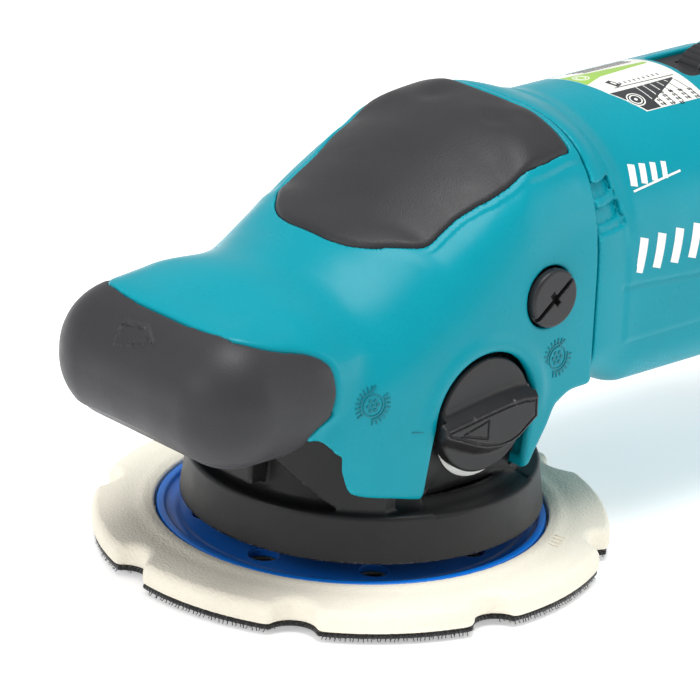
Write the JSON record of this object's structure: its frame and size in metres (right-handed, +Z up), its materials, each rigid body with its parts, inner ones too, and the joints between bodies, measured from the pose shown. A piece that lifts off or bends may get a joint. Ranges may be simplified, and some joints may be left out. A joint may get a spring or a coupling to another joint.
{
  "type": "dual action polisher",
  "caption": "Cordless dual action polisher with a hook-faced orbital backing pad, front palm grip, mode knob, in-line handle and slide-on battery",
  "frame": {"origin": "on the crankshaft axis, in the plane of the hook face under the backing pad", "axes": "+Z up along the crankshaft away from the work, +Y along the motor axis towards the battery, +X towards the mode knob"},
  "size_m": [0.15, 0.4327, 0.1446],
  "materials": {
    "teal_shell": "moulded glass-filled nylon, satin",
    "black_rubber": "soft overmoulded elastomer, matt",
    "black_plastic": "moulded nylon, fine spark texture",
    "cream_foam": "self-skinned polyurethane foam",
    "blue_plastic": "moulded nylon, semi-gloss",
    "hook_fabric": "hook side of hook-and-loop",
    "steel": "ground steel",
    "dark_steel": "black oxide steel",
    "alloy": "die-cast aluminium",
    "copper": "enamelled copper wire",
    "white_plastic": "moulded acetal",
    "label_film": "printed polyester label",
    "green_board": "potted circuit board",
    "red_plastic": "moulded ABS",
    "cell_wrap": "shrink-wrapped cells"
  },
  "bodies": {
    "root": {"head_cover": "teal_shell", "motor_housing": "teal_shell", "handle_left": "teal_shell", "handle_right": "teal_shell", "front_grip": "black_rubber", "top_cap": "black_rubber", "handle_grip": "black_rubber", "dust_seal": "black_rubber", "skirt": "black_plastic", "slotted_plugs": "black_plastic", "fan_baffle": "black_plastic", "dial_carrier": "black_plastic", "terminal_block": "black_plastic", "trigger_switch": "black_plastic", "main_bearing": "steel", "top_bearing": "steel", "motor_bearings": "steel", "trigger_pin": "steel", "stator_core": "dark_steel", "handle_screws": "dark_steel", "housing_screws": "steel", "case_screws": "steel", "bearing_box": "alloy", "gear_case": "alloy", "heat_sink": "alloy", "stator_coils": "copper", "lead_wires": "black_rubber", "controller": "green_board", "mode_ring": "white_plastic", "speed_label": "label_film"},
    "crank": {"crankshaft": "steel", "drive_key": "steel", "orbit_bearings": "steel", "counterweight": "dark_steel", "bevel_gear": "steel"},
    "pad": {"hook_layer": "hook_fabric", "pad_foam": "cream_foam", "pad_hub": "blue_plastic", "pad_washer": "steel", "pad_bolt": "steel", "pad_spindle": "steel", "pad_gear": "steel"},
    "rotor": {"rotor_shaft": "steel", "rotor_core": "dark_steel", "rotor_magnets": "dark_steel", "cooling_fan": "black_plastic", "bevel_pinion": "steel"},
    "knob": {"mode_knob": "black_plastic", "cam_pin": "steel"},
    "mode_sleeve": {"ring_gear": "steel"},
    "trigger": {"trigger": "black_plastic"},
    "lock_button": {"lock_button": "black_plastic"},
    "speed_dial": {"speed_dial": "black_plastic"},
    "battery": {"battery_case": "black_plastic", "battery_cover": "black_plastic", "battery_cells": "cell_wrap", "battery_terminals": "copper"},
    "battery_latch": {"battery_latch": "red_plastic"},
    "charge_button": {"charge_button": "black_plastic"}
  },
  "joints": [
    {"name": "orbit_spin", "type": "hinge", "parent": "root", "child": "crank", "pos_m": [0, 0, 0], "axis": [0, 0, 1], "continuous": true},
    {"name": "pad_spin", "type": "hinge", "parent": "crank", "child": "pad", "pos_m": [-0.00249, -0.00116, 0], "axis": [0, 0, 1], "continuous": true},
    {"name": "motor_spin", "type": "hinge", "parent": "root", "child": "rotor", "pos_m": [0, 0, 0.084], "axis": [0, 1, 0], "continuous": true},
    {"name": "mode_turn", "type": "hinge", "parent": "root", "child": "knob", "pos_m": [0.045, 0.0042, 0.0526], "axis": [-1, 0, 0], "range_deg": [0, 155]},
    {"name": "sleeve_lift", "type": "slide", "parent": "root", "child": "mode_sleeve", "axis": [0, 0, 1], "range_m": [0, 0.008]},
    {"name": "trigger_pull", "type": "hinge", "parent": "root", "child": "trigger", "pos_m": [0, 0.181, 0.06], "axis": [1, 0, 0], "range_deg": [0, 7], "stiffness_Nm_per_rad": 1, "springref_deg": -6.88},
    {"name": "lock_press", "type": "slide", "parent": "root", "child": "lock_button", "axis": [-1, 0, 0], "range_m": [0, 0.0026], "stiffness_N_per_m": 300, "springref_m": -0.002},
    {"name": "dial_turn", "type": "hinge", "parent": "root", "child": "speed_dial", "pos_m": [0, 0.132, 0.1146], "axis": [1, 0, 0], "range_deg": [-135, 135]},
    {"name": "battery_slide", "type": "slide", "parent": "root", "child": "battery", "axis": [0, 0, 1], "range_m": [0, 0.075]},
    {"name": "latch_press", "type": "slide", "parent": "battery", "child": "battery_latch", "axis": [0, 0, -1], "range_m": [0, 0.004], "stiffness_N_per_m": 500, "springref_m": -0.003},
    {"name": "charge_press", "type": "slide", "parent": "battery", "child": "charge_button", "axis": [0, -1, 0], "range_m": [0, 0.001], "stiffness_N_per_m": 300, "springref_m": -0.001}
  ],
  "couplings": [
    {"joint": "pad_spin", "follows": "orbit_spin", "ratio": -1.1143},
    {"joint": "motor_spin", "follows": "orbit_spin", "ratio": 3.6667},
    {"joint": "mode_turn", "follows": "sleeve_lift", "rad_per_m": 338.16}
  ]
}
